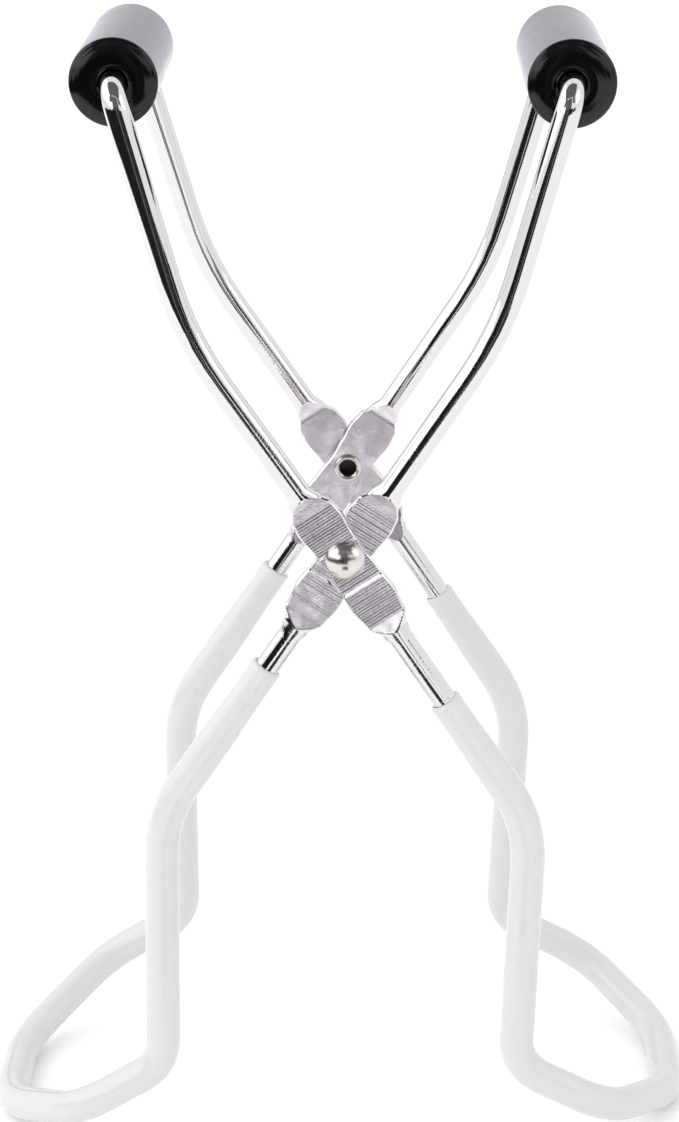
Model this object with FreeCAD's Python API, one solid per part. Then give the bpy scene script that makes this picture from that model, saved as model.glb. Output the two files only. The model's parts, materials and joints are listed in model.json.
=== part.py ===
"""Jar lifter: two crossed wire frames, one nested in the other, riveted at two pivots.

Each frame is one bent wire. Its two cut ends turn inwards and carry the jaw roller, its two arms are
pressed flat where they cross the other frame, and its handle loop is dipped in soft plastic.

Row frame, millimetres: +X to the jaw of the inner frame, +Y from the front arms to the rear arms, +Z up.
The lifter stands open on the noses of its two handle loops, and the origin is on the floor, in the
middle of its width and depth.
"""

import FreeCAD
import Part

import math
import os

V = FreeCAD.Vector

# Wire, and the flats pressed into it at the pivots
WIRE_R = 2.3
FLAT_THICK = 1.9
FLAT_GAP = 0.1            # between the two flats of one pivot
FLAT_UP = 14.5            # from the pivot to where the arm is round again, towards the jaw
FLAT_DOWN = 18.5          # and towards the handle
FLAT_WIDE = 9.4
EDGE_THICK = 1.7          # half thickness of the pressed wire before its faces are coined flat
LAP = 0.94                # share of that distance at which the round bars start, inside the pressed wire

# Height of the pivots, and centre distances from front arm to rear arm
PIVOT_Z = 124.0
PIVOT_SPACING = 56.0      # outer frame
JAW_SPACING = 48.8
HANDLE_SPACING = 61.8

# Lengths between bend corners and bend radii, the same on both frames
UPPER_ARM = 50.0
LOWER_ARM = 62.7
SHANK = 50.2
SHOULDER_R = 62.0
JAW_BEND_R = 4.5
ELBOW_R = 25.3
HEEL_R = 9.0
CORNER_R = 15.5
NOSE_R = 19.0
NOSE_HALF = 12.0          # half the nose of the loop, between its bend corners

# Leans in degrees: arms from the vertical, positive away from the other frame's arm, and the handle
# loop below the horizontal. Lengths as above.
FRAMES = {
    "outer": {
        "jaw_side": -1, "spacing": PIVOT_SPACING,
        "upper": 32.6, "jaw": 14.2, "lower": 31.95, "shank": -3.8,
        "jaw_arm": 44.8, "loop": 28.8, "loop_leg": 20.6, "bare_wire": 33.0,
    },
    "inner": {
        "jaw_side": 1, "spacing": PIVOT_SPACING - 2 * (FLAT_THICK + FLAT_GAP),
        "upper": 34.9, "jaw": 17.0, "lower": 35.0, "shank": 2.0,
        "jaw_arm": 44.1, "loop": 29.8, "loop_leg": 19.6, "bare_wire": 26.0,
    },
}

# Dipped grips: a skin on the wire
GRIP_R = 3.25
TIGHT = 0.02              # radial clearance between parts that are fixed together

# Semi-tubular rivets
SHANK_R = 2.2
HEAD_R = 3.65
HEAD_HIGH = 2.4
CLINCH_R = 2.7
CLINCH_HIGH = 0.7
TAIL_HOLE_R = 1.7
TAIL_HOLE_DEEP = 3.0
RUNNING = 0.08            # radial clearance between parts that turn on each other

# Jaw rollers
ROLLER_R = 7.8
ROLLER_HALF = 19.6        # half length at the rim
DOME = 1.0                # how far the end face stands out at its middle
RIM_R = 0.5
MOUTH_R = 3.0
MOUTH_DEEP = 0.6
STUB_END = 6.0            # from the roller's middle to the wire's cut end


def lean(side, degrees, up):
    """Unit vector in the XZ plane, tilted from the vertical towards side."""
    a = math.radians(degrees)
    return V(side * math.sin(a), 0, math.cos(a) if up else -math.cos(a))


def frame_points(name):
    """The bend corners of one frame's front half, and the directions of its two arms."""
    f = FRAMES[name]
    side = f["jaw_side"]
    up = lean(side, f["upper"], True)
    down = lean(-side, f["lower"], False)
    slope = math.radians(f["loop"])
    out = V(-side * math.cos(slope), 0, -math.sin(slope))
    pivot = V(0, -f["spacing"] / 2, PIVOT_Z)
    shoulder = pivot + up * UPPER_ARM
    jaw = shoulder + lean(side, f["jaw"], True) * f["jaw_arm"]
    elbow = pivot + down * LOWER_ARM
    heel = elbow + lean(-side, f["shank"], False) * SHANK
    corner = heel + out * f["loop_leg"]
    nose = heel + out * ((heel.z - GRIP_R) / math.sin(slope))
    jaw.y = -JAW_SPACING / 2
    heel.y = -HANDLE_SPACING / 2
    corner.y = heel.y
    nose.y = -NOSE_HALF
    return {
        "pivot": pivot, "up": up, "down": down, "shoulder": shoulder, "jaw": jaw,
        "elbow": elbow, "heel": heel, "corner": corner, "nose": nose,
    }


def rear(point):
    """The same point on the rear arm."""
    return V(point.x, -point.y, point.z)


def rounded_path(points, radii):
    """Straight runs through the points, with a tangent arc in place of each inner corner."""
    edges = []
    here = points[0]
    for before, corner, after, radius in zip(points, points[1:], points[2:], radii):
        back = (before - corner).normalize()
        on = (after - corner).normalize()
        half = back.getAngle(on) / 2
        cut = radius / math.tan(half)
        start = corner + back * cut
        end = corner + on * cut
        top = corner + (back + on).normalize() * (radius / math.sin(half) - radius)
        edges.append(Part.LineSegment(here, start).toShape())
        edges.append(Part.Arc(start, top, end).toShape())
        here = end
    edges.append(Part.LineSegment(here, points[-1]).toShape())
    return Part.Wire(edges)


def bar(path, radius):
    """A solid round bar along the path."""
    start = path.Edges[0]
    place = start.valueAt(start.FirstParameter)
    circle = Part.Circle(place, start.tangentAt(start.FirstParameter), radius)
    return path.makePipeShell([Part.Wire(circle.toShape())], True, False)


def handle_path(name, start):
    """The lower half of a frame, from start millimetres below one pivot to the same on the other."""
    p = frame_points(name)
    front = [p["pivot"] + p["down"] * start, p["elbow"], p["heel"], p["corner"], p["nose"]]
    radii = [ELBOW_R, HEEL_R, CORNER_R, NOSE_R]
    return rounded_path(front + [rear(q) for q in reversed(front)], radii + radii[::-1])


def jaw_path(name):
    """One upper arm, from the end of its flat to the stub that turns into the roller."""
    p = frame_points(name)
    stub = V(p["jaw"].x, -STUB_END, p["jaw"].z)
    points = [p["pivot"] + p["up"] * (FLAT_UP * LAP), p["shoulder"], p["jaw"], stub]
    return rounded_path(points, [SHOULDER_R, JAW_BEND_R])


def section(centre, along, half_wide, half_thick, power):
    """A closed superellipse square to along: power 2 is an ellipse, and more is boxier."""
    across = V(along.z, 0, -along.x)
    count = 24
    points = []
    for k in range(count):
        c = math.cos(2 * math.pi * k / count)
        s = math.sin(2 * math.pi * k / count)
        wide = math.copysign(abs(c) ** (2 / power), c) * half_wide
        thick = math.copysign(abs(s) ** (2 / power), s) * half_thick
        points.append(centre + across * wide + V(0, thick, 0))
    curve = Part.BSplineCurve()
    curve.interpolate(points, PeriodicFlag=True)
    return Part.Wire(curve.toShape())


def swollen(share):
    """Half width, half thickness and power of the pressed wire, at a share of the way to the round wire."""
    shape = {
        0.00: (FLAT_WIDE / 2, EDGE_THICK, 3.2),
        0.35: (FLAT_WIDE / 2, EDGE_THICK, 3.2),
        0.70: (FLAT_WIDE * 0.43, EDGE_THICK * 1.1, 2.8),
        0.90: (WIRE_R * 1.14, WIRE_R * 1.03, 2.1),
        1.00: (WIRE_R * 0.96, WIRE_R * 0.96, 2.0),
    }
    return shape[share]


def coin(pivot, along):
    """The two press blocks over a flat, which leave FLAT_THICK between them."""
    across = V(along.z, 0, -along.x)
    low = FLAT_THICK / 2
    high = WIRE_R + 0.6
    outline = [
        (-FLAT_DOWN * 0.97, high), (-FLAT_DOWN * 0.80, low), (FLAT_UP * 0.80, low),
        (FLAT_UP * 0.97, high), (FLAT_UP * 0.97, 2 * high), (-FLAT_DOWN * 0.97, 2 * high),
    ]
    blocks = []
    for face in (-1, 1):
        corners = [pivot + along * u - across * FLAT_WIDE + V(0, face * h, 0) for u, h in outline]
        block = Part.Face(Part.makePolygon(corners + corners[:1]))
        blocks.append(block.extrude(across * (2 * FLAT_WIDE)))
    return blocks


def flat(name):
    """The pressed stretch of one front arm, solid, without its rivet hole."""
    p = frame_points(name)
    along = (p["up"] - p["down"]).normalize()
    towards_jaw = [(p["up"] * (FLAT_UP * share), share) for share in (1.00, 0.90, 0.70, 0.35, 0.00)]
    towards_grip = [(p["down"] * (FLAT_DOWN * share), share) for share in (0.35, 0.70, 0.90, 1.00)]
    sections = []
    for offset, share in towards_jaw + towards_grip:
        sections.append(section(p["pivot"] + offset, along, *swollen(share)))
    return Part.makeLoft(sections, True, False).cut(coin(p["pivot"], along))


def wire_frame(name, hole_r):
    """One whole frame: two jaw arms, two flats and the handle, as one wire."""
    front = bar(jaw_path(name), WIRE_R).fuse(flat(name))
    back = front.mirror(V(0, 0, 0), V(0, 1, 0))
    wire = bar(handle_path(name, FLAT_DOWN * LAP), WIRE_R).fuse([front, back])
    hole = Part.makeCylinder(hole_r, 4 * PIVOT_SPACING, V(0, -2 * PIVOT_SPACING, PIVOT_Z), V(0, 1, 0))
    return wire.cut(hole)


def grip(name):
    """The dipped skin over one handle, a tube open at its two top edges."""
    path = handle_path(name, FRAMES[name]["bare_wire"])
    return bar(path, GRIP_R).cut(bar(path, WIRE_R + TIGHT))


def revolved(outline, place):
    """A solid of revolution about +Y through place. The outline is a list of (radius, y) points."""
    edges = []
    for a, b in zip(outline, outline[1:] + outline[:1]):
        edges.append(Part.LineSegment(V(a[0], a[1], 0), V(b[0], b[1], 0)).toShape())
    face = Part.Face(Part.Wire(edges))
    solid = face.revolve(V(0, 0, 0), V(0, 1, 0), 360)
    solid.translate(place)
    return solid


def rivet(side):
    """One rivet: domed head outside the outer frame, hollow tail rolled over inside the inner frame."""
    stack = 2 * FLAT_THICK + FLAT_GAP
    outside = PIVOT_SPACING / 2 + FLAT_THICK / 2
    crown = (HEAD_R ** 2 + HEAD_HIGH ** 2) / (2 * HEAD_HIGH)
    ball = Part.makeSphere(crown, V(0, HEAD_HIGH - crown, 0))
    head = ball.common(Part.makeCylinder(HEAD_R, HEAD_HIGH, V(0, TIGHT, 0), V(0, 1, 0)))
    shank = Part.makeCylinder(SHANK_R, stack + 0.2 + TIGHT, V(0, -stack - 0.2, 0), V(0, 1, 0))
    tail = [
        (0, -stack - TIGHT), (CLINCH_R, -stack - TIGHT), (CLINCH_R, -stack - CLINCH_HIGH * 0.6),
        (CLINCH_R - 0.35, -stack - CLINCH_HIGH), (0, -stack - CLINCH_HIGH),
    ]
    body = head.fuse([shank, revolved(tail, V(0, 0, 0))])
    mouth = V(0, -stack - CLINCH_HIGH, 0)
    body = body.cut(Part.makeCylinder(TAIL_HOLE_R, TAIL_HOLE_DEEP, mouth, V(0, 1, 0)))
    body.translate(V(0, outside, PIVOT_Z))
    return body if side > 0 else body.mirror(V(0, 0, 0), V(0, 1, 0))


def roller(name):
    """One jaw roller: a thick moulded tube with domed ends, turning on the two wire stubs."""
    place = V(frame_points(name)["jaw"].x, 0, frame_points(name)["jaw"].z)
    crown = (ROLLER_R ** 2 + DOME ** 2) / (2 * DOME)
    solid = Part.makeCylinder(ROLLER_R, 2 * (ROLLER_HALF + DOME), V(0, -ROLLER_HALF - DOME, 0), V(0, 1, 0))
    for face in (-1, 1):
        solid = solid.common(Part.makeSphere(crown, V(0, face * (ROLLER_HALF + DOME - crown), 0)))
    rims = [e for e in solid.Edges if abs(abs(e.CenterOfMass.y) - ROLLER_HALF) < 0.1]
    solid = solid.makeFillet(RIM_R, rims)
    ends = ROLLER_HALF + DOME
    solid = solid.cut(Part.makeCylinder(WIRE_R + RUNNING, 4 * ends, V(0, -2 * ends, 0), V(0, 1, 0)))
    for face in (-1, 1):
        mouth = Part.makeCone(WIRE_R, MOUTH_R + 0.5, MOUTH_DEEP + 0.5,
                              V(0, face * (ends - MOUTH_DEEP), 0), V(0, face, 0))
        solid = solid.cut(mouth)
    solid.translate(place)
    return solid


def build():
    """Every piece by node name, standing on the floor with the origin under its middle."""
    pieces = {
        "outer_wire_frame": wire_frame("outer", SHANK_R + TIGHT),
        "inner_wire_frame": wire_frame("inner", SHANK_R + RUNNING),
        "outer_handle_grip": grip("outer"),
        "inner_handle_grip": grip("inner"),
        "front_rivet": rivet(-1),
        "rear_rivet": rivet(1),
        "outer_jaw_roller": roller("outer"),
        "inner_jaw_roller": roller("inner"),
    }
    left = min(shape.optimalBoundingBox().XMin for shape in pieces.values())
    right = max(shape.optimalBoundingBox().XMax for shape in pieces.values())
    for shape in pieces.values():
        shape.translate(V(-(left + right) / 2, 0, 0))
    return pieces, -(left + right) / 2


if __name__ == "__main__":
    os.makedirs("parts", exist_ok=True)
    pieces, pivot_x = build()
    for node, shape in pieces.items():
        shape.exportStep(f"parts/{node}.step")
        box = shape.optimalBoundingBox()
        print(f"{node}: {shape.Volume:.0f} mm3, valid {shape.isValid()}, solids {len(shape.Solids)},",
              f"x {box.XMin:.2f} {box.XMax:.2f}, y {box.YMin:.2f} {box.YMax:.2f},",
              f"z {box.ZMin:.2f} {box.ZMax:.2f}")
    print(f"pivot axis at x {pivot_x:.3f}, z {PIVOT_Z:.3f}")
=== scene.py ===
import json
import math
import random

import bmesh
import bpy
from mathutils import Matrix, Vector


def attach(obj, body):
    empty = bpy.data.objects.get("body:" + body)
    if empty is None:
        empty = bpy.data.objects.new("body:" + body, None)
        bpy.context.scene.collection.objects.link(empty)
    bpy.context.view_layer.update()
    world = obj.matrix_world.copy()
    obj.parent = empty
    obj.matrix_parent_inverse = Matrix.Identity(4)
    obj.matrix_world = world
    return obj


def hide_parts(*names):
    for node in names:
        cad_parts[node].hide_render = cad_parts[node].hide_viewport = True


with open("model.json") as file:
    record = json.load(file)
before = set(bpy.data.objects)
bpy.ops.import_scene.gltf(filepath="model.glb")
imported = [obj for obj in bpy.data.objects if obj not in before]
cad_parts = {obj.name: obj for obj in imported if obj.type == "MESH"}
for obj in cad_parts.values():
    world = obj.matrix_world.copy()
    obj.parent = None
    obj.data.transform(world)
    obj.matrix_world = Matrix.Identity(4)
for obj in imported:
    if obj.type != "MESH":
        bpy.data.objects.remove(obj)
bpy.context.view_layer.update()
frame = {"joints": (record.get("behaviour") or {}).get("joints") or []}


# ---------------------------------------------------------------------------------------------------
# Studio: a camera on a short telephoto lens, a white paper floor and a white room with two soft light
# boxes. Black and grey cards stand round the set for the chrome to mirror, as its dark streaks.

camera = bpy.data.objects.new("camera", bpy.data.cameras.new("camera"))
bpy.context.scene.collection.objects.link(camera)
camera.data.sensor_width = 36
camera.data.lens = 87.2
camera.data.clip_start = 0.02
camera_place = Matrix.Translation((0.01394, -0.48903, 0.29213))
camera_pan = Matrix.Rotation(math.radians(1.26), 4, "Z")
camera_tilt = Matrix.Rotation(math.radians(90 - 20.07), 4, "X")
camera_roll = Matrix.Rotation(math.radians(-1.72), 4, "Z")
camera.matrix_world = camera_place @ camera_pan @ camera_tilt @ camera_roll
bpy.context.scene.camera = camera
bpy.context.scene.view_settings.view_transform = "Standard"


def linear(code):
    """An sRGB hex colour as linear red, green, blue and alpha."""
    shares = [int(code[k:k + 2], 16) / 255 for k in (1, 3, 5)]
    return tuple(s / 12.92 if s <= 0.04045 else ((s + 0.055) / 1.055) ** 2.4 for s in shares) + (1.0,)


def add_node(tree, kind, inputs=None, **settings):
    """Adds a node: settings are its own properties, inputs are values or the sockets that feed it."""
    made = tree.nodes.new(kind)
    for name, value in settings.items():
        setattr(made, name, value)
    for name, value in (inputs or {}).items():
        if isinstance(value, bpy.types.NodeSocket):
            tree.links.new(value, made.inputs[name])
        else:
            made.inputs[name].default_value = value
    return made


def new_material(name):
    """A material with no nodes but its output."""
    made = bpy.data.materials.new(name)
    made.use_nodes = True
    made.node_tree.nodes.clear()
    return made, made.node_tree


room = bpy.data.worlds.new("white_room")
room.use_nodes = True
room.node_tree.nodes["Background"].inputs["Color"].default_value = linear("#FBFAFD")
room.node_tree.nodes["Background"].inputs["Strength"].default_value = 1.12
bpy.context.scene.world = room


def paint(made, name, colour, roughness):
    """Gives a studio piece an even matt paint."""
    material, tree = new_material(name)
    shader = add_node(tree, "ShaderNodeBsdfPrincipled", {
        "Base Color": linear(colour), "Roughness": roughness})
    add_node(tree, "ShaderNodeOutputMaterial", {"Surface": shader.outputs[0]})
    made.data.materials.append(material)


bpy.ops.object.select_all(action="DESELECT")
bpy.ops.mesh.primitive_plane_add(size=12, location=(0, 0, 0))
floor = bpy.context.object
floor.name = "floor"
paint(floor, "white_paper", "#FDFDFD", 0.9)


def card(name, place, size, turn, colour):
    """A black or grey card that shows only in reflections: width and height, then its Euler angles."""
    bpy.ops.mesh.primitive_plane_add(size=1, location=place, rotation=[math.radians(t) for t in turn])
    made = bpy.context.object
    made.name = name
    made.scale = (*size, 1)
    bpy.ops.object.transform_apply(location=False, rotation=False, scale=True)
    paint(made, name + "_paint", colour, 1.0)
    made.visible_camera = False
    made.visible_shadow = False
    made.visible_diffuse = False


# In front: the dark band that every upright wire mirrors, paler in its middle.
card("card_front_left", (-0.105, -0.62, 0.18), (0.13, 0.36), (90, 0, 0), "#1C1C1F")
card("card_front_middle", (-0.01, -0.625, 0.18), (0.08, 0.36), (90, 0, 0), "#6C6C71")
card("card_front_right", (0.085, -0.62, 0.18), (0.13, 0.36), (90, 0, 0), "#26262A")
# Above it: the dim ceiling that the rivet's domed head mirrors as a fan.
card("card_fan", (-0.03, -0.63, 0.57), (0.56, 0.66), (90, 0, 0), "#5E5E63")
card("card_fan_left", (-0.49, -0.63, 0.76), (0.36, 0.42), (90, 0, 0), "#5E5E63")
card("card_fan_right", (0.49, -0.63, 0.76), (0.36, 0.42), (90, 0, 0), "#6A6A70")
card("card_overhead", (0, -0.26, 1.05), (1.30, 0.80), (12, 0, 0), "#5E5E63")
# On the table: two low cards for the wires that lean down and for the flats' ribs.
card("card_table", (0, -0.535, 0.001), (0.40, 0.17), (0, 0, 0), "#303034")
card("card_table_near", (0, -0.2075, 0.001), (0.09, 0.135), (0, 0, 0), "#2A2A2E")

# Round the left: a black band under the big soft box, lower towards the back. Round the right: a short one.
CARD_ROUND = 0.6
for step, (turn, high) in enumerate(((27, 0.25), (50, 0.20), (73, 0.16), (94, 0.12))):
    a = math.radians(turn)
    place = (-CARD_ROUND * math.sin(a), -CARD_ROUND * math.cos(a), high / 2)
    card("card_left_%d" % step, place, (0.25, high), (90, 0, -turn), "#0A0A0B")
for step, (turn, low, high) in enumerate(((24, 0.15, 0.32), (46, 0.17, 0.26))):
    a = math.radians(turn)
    place = (CARD_ROUND * math.sin(a), -CARD_ROUND * math.cos(a), (low + high) / 2)
    card("card_right_%d" % step, place, (0.22, high - low), (90, 0, turn), "#1A1A1C")

# Behind: the wall that the rollers' sides mirror at a glancing angle.
card("card_behind_left", (-0.45, 0.95, 0.5), (0.14, 1.0), (90, 0, 25), "#1A1A1C")
card("card_back", (0, 1.3, 0.5), (2.0, 1.0), (90, 0, 0), "#ECE8F0")


def soft_box(name, place, size, power):
    """A rectangular area light at place, turned to the lifter: its width and height."""
    lamp = bpy.data.lights.new(name, "AREA")
    lamp.shape = "RECTANGLE"
    lamp.size, lamp.size_y = size
    lamp.energy = power
    made = bpy.data.objects.new(name, lamp)
    made.location = place
    aim = Vector((0, 0, 0.15)) - Vector(place)
    made.rotation_euler = aim.to_track_quat("-Z", "Y").to_euler()
    bpy.context.scene.collection.objects.link(made)


soft_box("soft_box_left", (-0.95, -0.35, 0.95), (2.4, 1.3), 9)
soft_box("soft_box_right", (1.3, -0.4, 0.9), (0.8, 0.8), 1.2)


# ---------------------------------------------------------------------------------------------------
# Wire frames: each is one length of drawn steel wire, pressed flat where it crosses the other frame,
# bent on rollers and pins, and chrome plated. The nested inner one is narrower at the pivots.

MM = 0.001
WIRE = 2.3 * MM
SIDES = 56
BEND_STEP = math.radians(4)
pivot_x, _, pivot_z = frame["joints"][0]["pos_m"]

# The centre line of both wires: lengths between corners, places across, and the bend at each corner
UPPER_ARM = 50.0 * MM
LOWER_ARM = 62.7 * MM
SHANK = 50.2 * MM
JAW_Y = -24.4 * MM
LOOP_Y = -30.9 * MM
NOSE_Y = -12.0 * MM
STUB_END_Y = -6.0 * MM
NOSE_HIGH = 3.25 * MM
JAW_BENDS = (62.0 * MM, 4.5 * MM)
HANDLE_BENDS = (25.3 * MM, 9.0 * MM, 15.5 * MM, 19.0 * MM)

# The pressed flat, in heights above the pivot. FLAT_ENDS holds, for the outer face, -1, and the inner
# face, 1, where the wire starts to thicken and is round again, upwards and then downwards.
FLAT_HALF = 0.95 * MM
FLAT_UP = 15.6 * MM
FLAT_DOWN = 18.72 * MM
FLAT_ENDS = {-1: (12.4, 13.9, -13.7, -16.2), 1: (11.7, 15.5, -12.0, -18.7)}
INNER_EASE = 1.8
RING_STEP = 0.18 * MM
ON_RING = RING_STEP / 4
PAD = (-6.0 * MM, 2.7 * MM)
PAD_DEEP = 0.27 * MM
RIB_EVERY = 3
SATIN_DEEP = 0.09 * MM
RIVET_HOLE = 2.22 * MM

# The two frames: leans in degrees, and ribs as (from, to, least depth, most depth) in millimetres
FRAMES = {
    "outer": {
        "jaw_side": -1, "spacing": 56.0 * MM, "upper": 32.6, "jaw": 14.2, "lower": 31.95,
        "shank": -3.8, "jaw_arm": 44.8 * MM, "loop": 28.8, "loop_leg": 20.6 * MM,
        "bare_wire": 33.0 * MM,
        "ribs": ((3.0, 10.6, 0.014, 0.024), (-5.4, 2.2, 0.013, 0.024), (-13.5, -6.3, 0.013, 0.023)),
    },
    "inner": {
        "jaw_side": 1, "spacing": 52.0 * MM, "upper": 34.9, "jaw": 17.0, "lower": 35.0,
        "shank": 2.0, "jaw_arm": 44.1 * MM, "loop": 29.8, "loop_leg": 19.6 * MM,
        "bare_wire": 26.0 * MM,
        "ribs": ((3.0, 11.0, 0.003, 0.022), (-5.4, 2.2, 0.004, 0.018), (-11.4, -6.3, 0.004, 0.016)),
    },
}


def lean(side, degrees, up):
    """Unit vector tilted from the vertical towards side, in the plane of the arms."""
    a = math.radians(degrees)
    return Vector((side * math.sin(a), 0, math.cos(a) if up else -math.cos(a)))


def bend_corners(name):
    """Where the wire's centre line would turn, down the front arm from the jaw to the nose of the loop."""
    f = FRAMES[name]
    side = f["jaw_side"]
    up = lean(side, f["upper"], True)
    down = lean(-side, f["lower"], False)
    slope = math.radians(f["loop"])
    out = Vector((-side * math.cos(slope), 0, -math.sin(slope)))
    pivot = Vector((pivot_x, -f["spacing"] / 2, pivot_z))
    shoulder = pivot + up * UPPER_ARM
    jaw = shoulder + lean(side, f["jaw"], True) * f["jaw_arm"]
    elbow = pivot + down * LOWER_ARM
    heel = elbow + lean(-side, f["shank"], False) * SHANK
    corner = heel + out * f["loop_leg"]
    nose = heel + out * ((heel.z - NOSE_HIGH) / math.sin(slope))
    jaw.y = JAW_Y
    heel.y = LOOP_Y
    corner.y = LOOP_Y
    nose.y = NOSE_Y
    stub = Vector((jaw.x, STUB_END_Y, jaw.z))
    middle = Vector((nose.x, 0, nose.z))
    return {
        "pivot": pivot, "up": up, "down": down, "to_jaw": [shoulder, jaw, stub],
        "to_loop": [elbow, heel, corner, nose, middle],
    }


def pick(test):
    """In edit mode, selects the vertices whose place passes the test, and no others."""
    mesh = bmesh.from_edit_mesh(bpy.context.edit_object.data)
    for v in mesh.verts:
        v.select = test(v.co)
    mesh.select_flush_mode()
    bmesh.update_edit_mesh(bpy.context.edit_object.data)


def flat_width(place):
    """Half width of the pressed wire at a height above the pivot, eased between a few gauged widths."""
    gauged = [
        (-18.72, 2.3), (-16.4, 2.75), (-13.6, 4.05), (-9.0, 4.7), (-4.0, 4.25), (0, 3.95),
        (4.0, 4.25), (8.0, 4.65), (10.6, 4.30), (12.8, 3.15), (15.6, 2.3),
    ]
    for (low, from_wide), (high, to_wide) in zip(gauged, gauged[1:]):
        if place <= high * MM + 1e-9:
            share = (place / MM - low) / (high - low)
            ease = share * share * (3 - 2 * share)
            return (from_wide + (to_wide - from_wide) * ease) * MM
    return WIRE


def half_thick(place, face):
    """Half thickness of the pressed wire at a height above the pivot, on its outer face, -1, or inner, 1."""
    top, top_end, bottom, bottom_end = [gauge * MM for gauge in FLAT_ENDS[face]]
    share = max(0, (place - top) / (top_end - top), (place - bottom) / (bottom_end - bottom))
    share = share ** INNER_EASE if face > 0 else share
    return min(WIRE, FLAT_HALF + (WIRE - FLAT_HALF) * share)


def press_flat(name, ribs):
    """The pressed stretch of one front arm, upright on the pivot, with its outer face to -Y.

    The wire's ring is drawn out in short steps, squeezed to its two faces, and its outer face is then
    sunk round the rivet and scored across with ribs. The faces take the satin plate, the rest is bright.
    """
    bpy.ops.object.select_all(action="DESELECT")
    bpy.ops.mesh.primitive_circle_add(vertices=SIDES, radius=WIRE, location=(0, 0, FLAT_UP))
    made = bpy.context.object
    made.name = name + "_frame_wire"
    bpy.ops.object.transform_apply(location=True, rotation=True, scale=True)
    bpy.ops.object.mode_set(mode="EDIT")
    bpy.ops.mesh.select_all(action="SELECT")
    rings = round((FLAT_UP + FLAT_DOWN) / RING_STEP)
    step = -(FLAT_UP + FLAT_DOWN) / rings
    for ring in range(1, rings + 1):
        place = FLAT_UP + step * ring
        wider = flat_width(place) / flat_width(place - step)
        bpy.ops.mesh.extrude_edges_move(TRANSFORM_OT_translate={"value": (0, 0, step)})
        bpy.ops.transform.resize(value=(wider, 1, 1), center_override=(0, 0, place))
    for ring in range(rings + 1):
        place = FLAT_UP + step * ring
        for face in (-1, 1):
            thick = half_thick(place, face)
            if thick < WIRE:
                pick(lambda v: v.y * face > thick and abs(v.z - place) < ON_RING)
                bpy.ops.transform.resize(value=(1, 0, 1), center_override=(0, face * thick, 0))
    for inset in (0, RING_STEP, 2 * RING_STEP):
        pick(lambda v: v.y < -FLAT_HALF * 0.75 and PAD[0] + inset < v.z < PAD[1] - inset)
        bpy.ops.transform.translate(value=(0, PAD_DEEP / 3, 0))
    wear = random.Random(name)
    for low, high, least, most in ribs:
        for ring in range(rings + 1):
            place = FLAT_UP + step * ring
            if ring % RIB_EVERY == 0 and low * MM < place < high * MM:
                pick(lambda v: v.y < -FLAT_HALF * 0.6 and abs(v.z - place) < ON_RING)
                bpy.ops.transform.translate(value=(0, wear.uniform(least, most) * MM, 0))
        pick(lambda v: v.y < -FLAT_HALF * 0.6 and low * MM < v.z < high * MM)
        bpy.ops.mesh.mark_sharp()
    bpy.ops.object.mode_set(mode="OBJECT")
    made.data.materials.append(chrome)
    made.data.materials.append(coined)
    for part in made.data.polygons:
        face = -1 if part.center.y < 0 else 1
        thick = half_thick(part.center.z, face)
        pad = face < 0 and PAD[0] < part.center.z < PAD[1]
        below = PAD_DEEP + SATIN_DEEP if pad else SATIN_DEEP
        facing = abs(part.normal.y) > (0.95 if pad else 0.7)
        if facing and thick - below < abs(part.center.y) and thick < WIRE * 0.97:
            part.material_index = 1
    return made


def draw_out(points, radii):
    """Draws the selected ring out as a bar: straight runs through the points, with a bend at each corner."""
    here = points[0]
    for before, corner, after, radius in zip(points, points[1:], points[2:], radii):
        back = (before - corner).normalized()
        on = (after - corner).normalized()
        half = back.angle(on) / 2
        cut = radius / math.tan(half)
        middle = corner + (back + on).normalized() * (radius / math.sin(half))
        turn = math.pi - 2 * half
        steps = max(3, round(turn / BEND_STEP))
        bpy.ops.mesh.extrude_edges_move(TRANSFORM_OT_translate={"value": corner + back * cut - here})
        bpy.ops.mesh.spin(steps=steps, angle=turn, center=middle, axis=back.cross(on))
        here = corner + on * cut
    bpy.ops.mesh.extrude_edges_move(TRANSFORM_OT_translate={"value": points[-1] - here})


def mirror_to_rear(made):
    """Adds the rear half of a front half, joined at the middle, with its faces outwards."""
    mirror = made.modifiers.new("rear_half", "MIRROR")
    mirror.use_axis = (False, True, False)
    mirror.merge_threshold = 0.01 * MM
    bpy.context.view_layer.objects.active = made
    bpy.ops.object.modifier_apply(modifier=mirror.name)
    bpy.ops.object.mode_set(mode="EDIT")
    bpy.ops.mesh.select_all(action="SELECT")
    bpy.ops.mesh.remove_doubles(threshold=0.005 * MM)
    bpy.ops.mesh.normals_make_consistent(inside=False)
    bpy.ops.object.mode_set(mode="OBJECT")


def pick_end(end, along):
    """Selects the ring of vertices round the end of the pressed flat."""
    pick(lambda v: (v - end).length < WIRE * 1.001 and abs((v - end).dot(along)) < 0.01 * MM)


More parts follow.
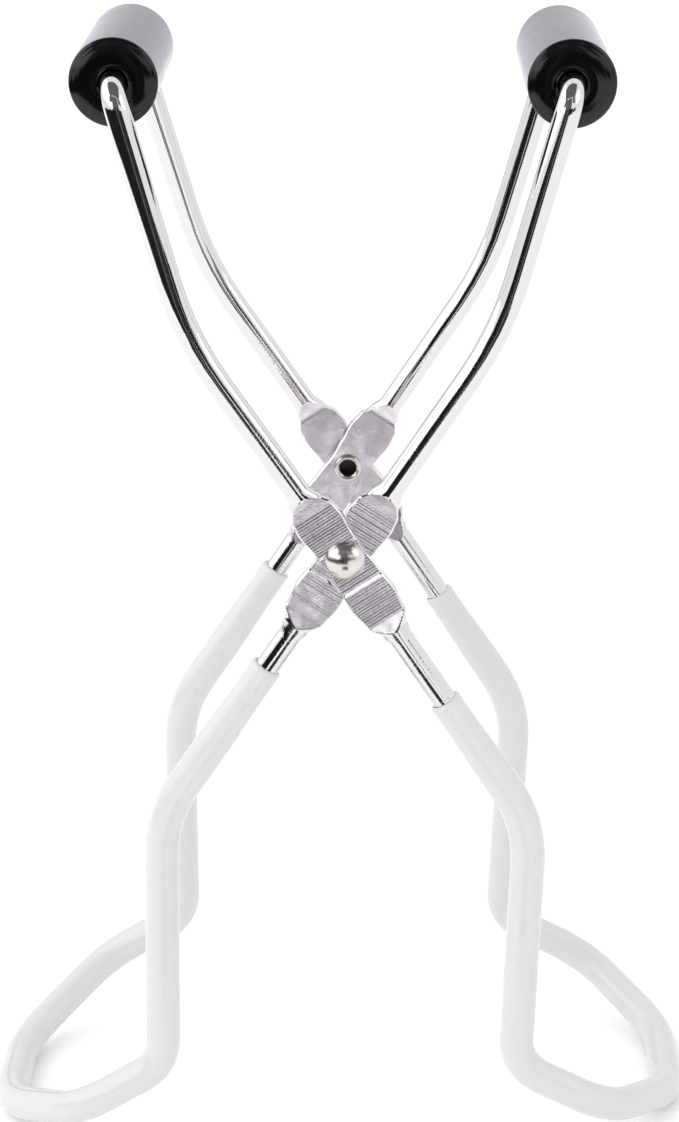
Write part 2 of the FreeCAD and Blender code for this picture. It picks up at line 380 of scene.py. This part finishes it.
def wire_frame(name):
    """One whole frame: the flat first, then its two ends drawn out to the jaw and to the loop's nose."""
    p = bend_corners(name)
    along = (p["up"] - p["down"]).normalized()
    made = press_flat(name, FRAMES[name]["ribs"])
    turn = Matrix.Rotation(math.atan2(along.x, along.z), 4, "Y")
    made.data.transform(Matrix.Translation(p["pivot"]) @ turn)
    bpy.ops.object.mode_set(mode="EDIT")
    top = p["pivot"] + along * FLAT_UP
    pick_end(top, along)
    draw_out([top] + p["to_jaw"], JAW_BENDS)
    bpy.ops.mesh.extrude_edges_move(TRANSFORM_OT_translate={"value": (0, 0.3 * MM, 0)})
    bpy.ops.transform.resize(value=(0.85, 0.85, 0.85))
    bpy.ops.mesh.edge_face_add()
    foot = p["pivot"] - along * FLAT_DOWN
    pick_end(foot, along)
    draw_out([foot] + p["to_loop"], HANDLE_BENDS)
    bpy.ops.object.mode_set(mode="OBJECT")
    mirror_to_rear(made)
    return made


def cut_rivet_holes(made):
    """Drills the rivet's hole through the front and the rear flat."""
    bpy.ops.object.select_all(action="DESELECT")
    bpy.ops.mesh.primitive_cylinder_add(vertices=48, radius=RIVET_HOLE, depth=80 * MM,
                                        location=(pivot_x, 0, pivot_z), rotation=(math.pi / 2, 0, 0))
    drill = bpy.context.object
    cut = made.modifiers.new("rivet_hole", "BOOLEAN")
    cut.object = drill
    cut.operation = "DIFFERENCE"
    cut.solver = "EXACT"
    bpy.context.view_layer.objects.active = made
    bpy.ops.object.modifier_apply(modifier=cut.name)
    bpy.data.objects.remove(drill)
    made.select_set(True)


def from_pivot(tree):
    """Place on the lifter, and how far along the arm it is from the rivets' axis, in metres."""
    place = add_node(tree, "ShaderNodeTexCoord").outputs["Object"]
    off = add_node(tree, "ShaderNodeVectorMath", {0: place}, operation="SUBTRACT")
    off.inputs[1].default_value = (pivot_x, 0, pivot_z)
    level = add_node(tree, "ShaderNodeVectorMath", {0: off.outputs[0]}, operation="MULTIPLY")
    level.inputs[1].default_value = (1, 0, 1)
    far = add_node(tree, "ShaderNodeVectorMath", {0: level.outputs[0]}, operation="LENGTH")
    return place, far.outputs["Value"]


def relief(tree, height, deep, under=None):
    """A bump whose height input of 0 to 1 stands for a real depth in metres, laid over another bump."""
    inputs = {"Height": height, "Strength": 1.0, "Distance": deep}
    if under:
        inputs["Normal"] = under
    return add_node(tree, "ShaderNodeBump", inputs).outputs["Normal"]


# Decorative chrome on drawn wire: a clear, nearly neutral mirror. The machine that feeds and bends the
# wire leaves a 0.6 mm ripple and short cross ticks near the flats, which break the dark streaks up.
chrome, tree = new_material("bright_chrome_plate")
place, along = from_pivot(tree)
ripple = add_node(tree, "ShaderNodeTexNoise", {"Vector": place, "Scale": 1 / (0.6 * MM), "Detail": 2.0})
near = add_node(tree, "ShaderNodeMapRange", {"Value": along, 1: 56 * MM, 2: 30 * MM, 3: 0.15, 4: 1.0})
score = add_node(tree, "ShaderNodeTexNoise", {"W": along, "Scale": 1 / (0.45 * MM), "Detail": 1.0},
                 noise_dimensions="1D")
tick = add_node(tree, "ShaderNodeMapRange", {"Value": score.outputs["Fac"], 1: 0.52, 2: 0.66})
patch = add_node(tree, "ShaderNodeTexNoise", {"Vector": place, "Scale": 1 / (5 * MM), "Detail": 1.0})
worn = add_node(tree, "ShaderNodeMapRange", {"Value": patch.outputs["Fac"], 1: 0.46, 2: 0.58})
tick_on = add_node(tree, "ShaderNodeMath", {0: tick.outputs[0], 1: worn.outputs[0]}, operation="MULTIPLY")
tick_near = add_node(tree, "ShaderNodeMath", {0: tick_on.outputs[0], 1: near.outputs[0]},
                     operation="MULTIPLY")
ripple_near = add_node(tree, "ShaderNodeMath", {0: ripple.outputs["Fac"], 1: near.outputs[0]},
                       operation="MULTIPLY")
rippled = relief(tree, ripple_near.outputs[0], 0.006 * MM)
ticked = relief(tree, tick_near.outputs[0], 0.005 * MM, rippled)
shader = add_node(tree, "ShaderNodeBsdfPrincipled", {
    "Base Color": linear("#DAD8D8"), "Metallic": 1.0, "Roughness": 0.04, "Normal": ticked})
add_node(tree, "ShaderNodeOutputMaterial", {"Surface": shader.outputs[0]})

# The same plate over the pressed flats: the coined steel under it is scored across, so it is satin
# grey with fine scratches and a few darker stains, not a clear mirror.
coined, tree = new_material("coined_chrome_plate")
place = add_node(tree, "ShaderNodeTexCoord").outputs["Object"]
stretch = add_node(tree, "ShaderNodeMapping", {"Vector": place, "Scale": (0.25, 0.25, 1.0)})
scores = add_node(tree, "ShaderNodeTexNoise", {
    "Vector": stretch.outputs[0], "Scale": 1 / (0.28 * MM), "Detail": 3.0, "Roughness": 0.6})
stain = add_node(tree, "ShaderNodeTexNoise", {"Vector": place, "Scale": 1 / (2.4 * MM), "Detail": 3.0})
tone = add_node(tree, "ShaderNodeMapRange", {"Value": stain.outputs["Fac"], 1: 0.35, 2: 0.65})
colour = add_node(tree, "ShaderNodeMix", {"Factor": tone.outputs[0]}, data_type="RGBA")
colour.inputs[6].default_value = linear("#CFC9CE")
colour.inputs[7].default_value = linear("#E4DFE3")
satin = add_node(tree, "ShaderNodeMapRange", {
    "Value": stain.outputs["Fac"], 1: 0.3, 2: 0.7, 3: 0.28, 4: 0.17})
scored = relief(tree, scores.outputs["Fac"], 0.018 * MM)
shader = add_node(tree, "ShaderNodeBsdfPrincipled", {
    "Base Color": colour.outputs[2], "Metallic": 1.0, "Roughness": satin.outputs[0], "Normal": scored})
add_node(tree, "ShaderNodeOutputMaterial", {"Surface": shader.outputs[0]})

for name in ("outer", "inner"):
    wire = wire_frame(name)
    cut_rivet_holes(wire)
    bpy.ops.object.shade_smooth_by_angle(angle=math.radians(20))
    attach(wire, name + "_frame")
    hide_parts(name + "_wire_frame")


# ---------------------------------------------------------------------------------------------------
# Handle grips: soft white vinyl, dipped over each handle loop after the plating. The skin has a rounded
# lip at its two top edges and is thicker towards the loop, where it drained. LIP lists how far down the
# arm and how wide, in millimetres.

GRIP = 3.25 * MM
LIP = (
    (0.00, 2.33), (0.05, 2.60), (0.18, 2.84), (0.40, 2.98), (0.80, 3.03), (1.40, 2.98),
    (3.00, 2.95), (8.00, 3.00), (16.0, 3.10),
)


def vinyl_grip(name):
    """One dipped grip: from the lip on the front arm round the loop to the lip on the rear arm."""
    p = bend_corners(name)
    start = p["pivot"] + p["down"] * FRAMES[name]["bare_wire"]
    turn = Vector((0, 0, 1)).rotation_difference(p["down"])
    bpy.ops.object.select_all(action="DESELECT")
    bpy.ops.mesh.primitive_circle_add(vertices=SIDES, radius=LIP[0][1] * MM, location=start,
                                      rotation=turn.to_euler())
    made = bpy.context.object
    made.name = name + "_grip_vinyl"
    bpy.ops.object.transform_apply(location=True, rotation=True, scale=True)
    bpy.ops.object.mode_set(mode="EDIT")
    bpy.ops.mesh.select_all(action="SELECT")
    for (low, from_radius), (high, to_radius) in zip(LIP, LIP[1:]):
        down = p["down"] * ((high - low) * MM)
        bpy.ops.mesh.extrude_edges_move(TRANSFORM_OT_translate={"value": down})
        grow = to_radius / from_radius
        bpy.ops.transform.resize(value=(grow, grow, grow), center_override=start + p["down"] * (high * MM))
    here = start + p["down"] * (LIP[-1][0] * MM)
    bpy.ops.transform.resize(value=[GRIP / (LIP[-1][1] * MM)] * 3, center_override=here)
    draw_out([here] + p["to_loop"], HANDLE_BENDS)
    bpy.ops.object.mode_set(mode="OBJECT")
    mirror_to_rear(made)
    return made


# Plasticised vinyl, fused from a dip: a smooth, slightly soft white with long clear highlights. Slow
# waves and a few faint scuffs keep them from looking drawn with a ruler.
vinyl, tree = new_material("dipped_white_vinyl")
place = add_node(tree, "ShaderNodeTexCoord").outputs["Object"]
waves = add_node(tree, "ShaderNodeTexNoise", {"Vector": place, "Scale": 1 / (6 * MM), "Detail": 1.0})
scuffs = add_node(tree, "ShaderNodeTexNoise", {"Vector": place, "Scale": 1 / (2.5 * MM), "Detail": 4.0})
shine = add_node(tree, "ShaderNodeMapRange", {
    "Value": scuffs.outputs["Fac"], 1: 0.4, 2: 0.7, 3: 0.12, 4: 0.24})
soften = add_node(tree, "ShaderNodeMix", {"Factor": scuffs.outputs["Fac"]}, data_type="RGBA")
soften.inputs[6].default_value = linear("#CBCBCA")
soften.inputs[7].default_value = linear("#CFCFCD")
waved = relief(tree, waves.outputs["Fac"], 0.08 * MM)
shader = add_node(tree, "ShaderNodeBsdfPrincipled", {
    "Base Color": soften.outputs[2], "Roughness": shine.outputs[0], "IOR": 1.5, "Normal": waved,
    "Subsurface Weight": 0.12, "Subsurface Radius": (1.5 * MM, 1.4 * MM, 1.3 * MM)})
add_node(tree, "ShaderNodeOutputMaterial", {"Surface": shader.outputs[0]})

for name in ("outer", "inner"):
    grip = vinyl_grip(name)
    grip.data.materials.append(vinyl)
    bpy.ops.object.shade_smooth_by_angle(angle=math.radians(60))
    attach(grip, name + "_frame")
    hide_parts(name + "_handle_grip")


# ---------------------------------------------------------------------------------------------------
# Rivets: semi-tubular plated steel, one through each pair of flats. The domed head is outside, and the
# hollow tail is rolled over into a ring on the inside of the inner frame. Its outline is in millimetres.

def turned(name, outline, sides):
    """A body of revolution about Z: a ring at the outline's first radius and height, grown to each next."""
    bpy.ops.object.select_all(action="DESELECT")
    radius, height = outline[0]
    bpy.ops.mesh.primitive_circle_add(vertices=sides, radius=radius * MM, location=(0, 0, height * MM))
    made = bpy.context.object
    made.name = name
    bpy.ops.object.transform_apply(location=True, rotation=True, scale=True)
    bpy.ops.object.mode_set(mode="EDIT")
    bpy.ops.mesh.select_all(action="SELECT")
    for (last_radius, last_height), (radius, height) in zip(outline, outline[1:]):
        up = (0, 0, (height - last_height) * MM)
        bpy.ops.mesh.extrude_edges_move(TRANSFORM_OT_translate={"value": up})
        grow = radius / last_radius
        bpy.ops.transform.resize(value=(grow, grow, 1), center_override=(0, 0, height * MM))
    return made


def close_ends(made):
    """Fills the open rings of a turned body, turns its faces outwards and leaves edit mode."""
    bpy.ops.mesh.select_all(action="SELECT")
    bpy.ops.mesh.remove_doubles(threshold=0.001 * MM)
    bpy.ops.mesh.select_all(action="DESELECT")
    bpy.ops.mesh.select_non_manifold()
    bpy.ops.mesh.fill_holes(sides=0)
    bpy.ops.mesh.select_all(action="SELECT")
    bpy.ops.mesh.normals_make_consistent(inside=False)
    bpy.ops.object.mode_set(mode="OBJECT")


HEAD = 3.65
HEAD_HIGH = 2.4
HEAD_SEAT = -PAD_DEEP / MM + 0.02
STACK = 3.9               # both flats and the gap between them
TAIL_BORE = 1.7
OUTER_FACE = 28.95 * MM   # from the middle of the lifter to the outer face of the outer flat

crown = (HEAD ** 2 + HEAD_HIGH ** 2) / (2 * HEAD_HIGH)
rivet_outline = [
    (0.02, -STACK + 2.3), (TAIL_BORE, -STACK + 2.3), (TAIL_BORE, -STACK - 0.55), (1.85, -STACK - 0.70),
]
for step in range(1, 7):
    around = math.pi * step / 6
    rivet_outline.append((2.26 - 0.40 * math.cos(around), -STACK - 0.35 - 0.38 * math.sin(around)))
rivet_outline += [
    (2.60, -STACK - 0.05), (2.2, -STACK - 0.03), (2.2, HEAD_SEAT), (3.45, HEAD_SEAT), (HEAD, -0.05),
]
rim_angle = math.asin(HEAD / crown)
for step in range(1, 12):
    around = rim_angle * (1 - step / 11.2)
    rivet_outline.append((crown * math.sin(around), HEAD_HIGH - crown + crown * math.cos(around)))

# Barrel-plated nickel: a warm satin white metal, speckled where the rivets knocked together.
plate, tree = new_material("tumbled_nickel_plate")
place = add_node(tree, "ShaderNodeTexCoord").outputs["Object"]
dents = add_node(tree, "ShaderNodeTexNoise", {"Vector": place, "Scale": 1 / (0.7 * MM), "Detail": 3.0})
dented = relief(tree, dents.outputs["Fac"], 0.035 * MM)
shader = add_node(tree, "ShaderNodeBsdfPrincipled", {
    "Base Color": linear("#D6D2CD"), "Metallic": 1.0, "Roughness": 0.2, "Normal": dented})
add_node(tree, "ShaderNodeOutputMaterial", {"Surface": shader.outputs[0]})

# The bore of the tail is dull, and painted near black with a faint mottle: painted shade deep in the hollow.
bore, tree = new_material("rivet_bore_painted_shade")
place = add_node(tree, "ShaderNodeTexCoord").outputs["Object"]
bore_mottle = add_node(tree, "ShaderNodeTexNoise", {"Vector": place, "Scale": 1 / (0.5 * MM)})
shade = add_node(tree, "ShaderNodeMix", {"Factor": bore_mottle.outputs["Fac"]}, data_type="RGBA")
shade.inputs[6].default_value = linear("#1C1B1C")
shade.inputs[7].default_value = linear("#4A4848")
shader = add_node(tree, "ShaderNodeBsdfPrincipled", {
    "Base Color": shade.outputs[2], "Metallic": 0.4, "Roughness": 0.45})
add_node(tree, "ShaderNodeOutputMaterial", {"Surface": shader.outputs[0]})

for name, facing in (("front_rivet", -1), ("rear_rivet", 1)):
    rivet = turned(name + "_turned", rivet_outline, 48)
    close_ends(rivet)
    rivet.data.materials.append(plate)
    rivet.data.materials.append(bore)
    # Faces inside the tail's bore take the near-black painted shade.
    for part in rivet.data.polygons:
        if part.center.xy.length < (TAIL_BORE + 0.05) * MM and part.center.z < -STACK * MM / 3:
            part.material_index = 1
    face = Matrix.Translation((pivot_x, facing * OUTER_FACE, pivot_z))
    rivet.data.transform(face @ Matrix.Rotation(math.radians(-90 * facing), 4, "X"))
    bpy.ops.object.shade_smooth_by_angle(angle=math.radians(40))
    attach(rivet, "outer_frame")
    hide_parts(name)


# ---------------------------------------------------------------------------------------------------
# Jaw rollers: thick tubes moulded in smooth black plastic, with domed ends and a small countersink
# where the wire's stub goes in. They turn freely on the stubs. The outline is half of one, from the
# middle of the bore to the middle of the outside, as (radius, distance from the middle) in millimetres.

ROLLER = 7.8
ROLLER_HALF = 20.52
ROLLER_BORE = 2.38
half_outline = [
    (ROLLER_BORE, 0), (ROLLER_BORE, 19.7), (2.44, 20.0), (2.62, 20.22), (2.85, 20.38), (3.1, 20.46),
    (3.5, 20.50), (4.1, ROLLER_HALF), (4.65, 20.51), (4.8, 20.48), (4.95, 20.47), (5.4, 20.42),
    (5.9, 20.32), (6.3, 20.20), (6.65, 20.06), (6.95, 19.88), (7.15, 19.72),
]
for step in range(7):
    around = math.radians(42 + 48 * step / 6)
    half_outline.append((7.1 + 0.7 * math.sin(around) ** 3, 19.06 + 0.84 * math.cos(around)))
half_outline += [(ROLLER, 18.85), (ROLLER, 18.4), (ROLLER, 0)]

# Hard black plastic, moulded glossy: near black face on, a pale grey mirror at a glancing angle. The
# slight mould texture and rubbed patches soften what it mirrors.
black, tree = new_material("moulded_black_plastic")
place = add_node(tree, "ShaderNodeTexCoord").outputs["Object"]
mould = add_node(tree, "ShaderNodeTexNoise", {"Vector": place, "Scale": 1 / (1.5 * MM), "Detail": 3.0})
rubbed = add_node(tree, "ShaderNodeTexNoise", {"Vector": place, "Scale": 1 / (7 * MM), "Detail": 2.0})
gloss = add_node(tree, "ShaderNodeMapRange", {
    "Value": rubbed.outputs["Fac"], 1: 0.35, 2: 0.65, 3: 0.08, 4: 0.15})
textured = relief(tree, mould.outputs["Fac"], 0.006 * MM)
shader = add_node(tree, "ShaderNodeBsdfPrincipled", {
    "Base Color": linear("#08080A"), "Roughness": gloss.outputs[0], "IOR": 1.45, "Normal": textured})
add_node(tree, "ShaderNodeOutputMaterial", {"Surface": shader.outputs[0]})

# The ends are the same plastic off a spark-eroded core plate, a shade more satin.
satin_black, tree = new_material("moulded_black_end")
place = add_node(tree, "ShaderNodeTexCoord").outputs["Object"]
mould = add_node(tree, "ShaderNodeTexNoise", {"Vector": place, "Scale": 1 / (0.4 * MM), "Detail": 3.0})
gloss = add_node(tree, "ShaderNodeMapRange", {
    "Value": mould.outputs["Fac"], 1: 0.3, 2: 0.7, 3: 0.10, 4: 0.17})
shader = add_node(tree, "ShaderNodeBsdfPrincipled", {
    "Base Color": linear("#060608"), "Roughness": gloss.outputs[0], "IOR": 1.42})
add_node(tree, "ShaderNodeOutputMaterial", {"Surface": shader.outputs[0]})

for name in ("outer", "inner"):
    joint = [j for j in frame["joints"] if j["name"] == name + "_roller_spin"][0]
    roller = turned(name + "_roller_moulded", half_outline, 96)
    bpy.ops.object.mode_set(mode="OBJECT")
    roller.data.transform(Matrix.Rotation(math.radians(90), 4, "X"))
    mirror_to_rear(roller)
    roller.data.transform(Matrix.Translation(joint["pos_m"]))
    roller.data.materials.append(black)
    roller.data.materials.append(satin_black)
    for part in roller.data.polygons:
        if abs(part.normal.y) > 0.35:
            part.material_index = 1
    bpy.ops.object.shade_smooth_by_angle(angle=math.radians(40))
    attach(roller, name + "_roller")
    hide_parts(name + "_jaw_roller")
